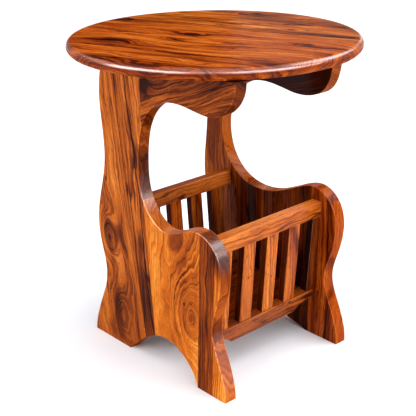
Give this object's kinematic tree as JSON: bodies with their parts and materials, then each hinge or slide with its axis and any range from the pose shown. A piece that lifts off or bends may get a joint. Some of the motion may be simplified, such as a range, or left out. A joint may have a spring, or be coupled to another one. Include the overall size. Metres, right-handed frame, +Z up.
{
  "type": "magazine table with rack",
  "caption": "Round occasional table on two C-shaped side panels, with a slatted magazine rack and solid floor held between the panels.",
  "frame": {"origin": "on the floor below the centre of the round top", "axes": "+X from the left panel to the right panel, -Y the open front of the panels, +Z up"},
  "size_m": [0.457, 0.457, 0.521],
  "materials": {
    "top_board": "gloss varnish",
    "panel": "gloss varnish",
    "rack": "gloss varnish",
    "dowel": "plain"
  },
  "bodies": {
    "root": {"top_board_1": "top_board", "top_board_2": "top_board", "top_board_3": "top_board", "top_board_4": "top_board", "top_board_5": "top_board", "left_panel_back_stave": "panel", "left_panel_second_stave": "panel", "left_panel_middle_stave": "panel", "left_panel_front_stave": "panel", "left_panel_arm": "panel", "right_panel_back_stave": "panel", "right_panel_second_stave": "panel", "right_panel_middle_stave": "panel", "right_panel_front_stave": "panel", "right_panel_arm": "panel", "front_bottom_rail": "rack", "front_top_rail": "rack", "rear_bottom_rail": "rack", "rear_top_rail": "rack", "front_slat_1": "rack", "front_slat_2": "rack", "front_slat_3": "rack", "front_slat_4": "rack", "front_slat_5": "rack", "rear_slat_1": "rack", "rear_slat_2": "rack", "rear_slat_3": "rack", "rear_slat_4": "rack", "rear_slat_5": "rack", "rack_floor_board_1": "rack", "rack_floor_board_2": "rack", "rack_floor_board_3": "rack", "rail_dowels": "dowel", "floor_dowels": "dowel", "top_dowels": "dowel", "arm_dowels": "dowel"}
  },
  "joints": []
}
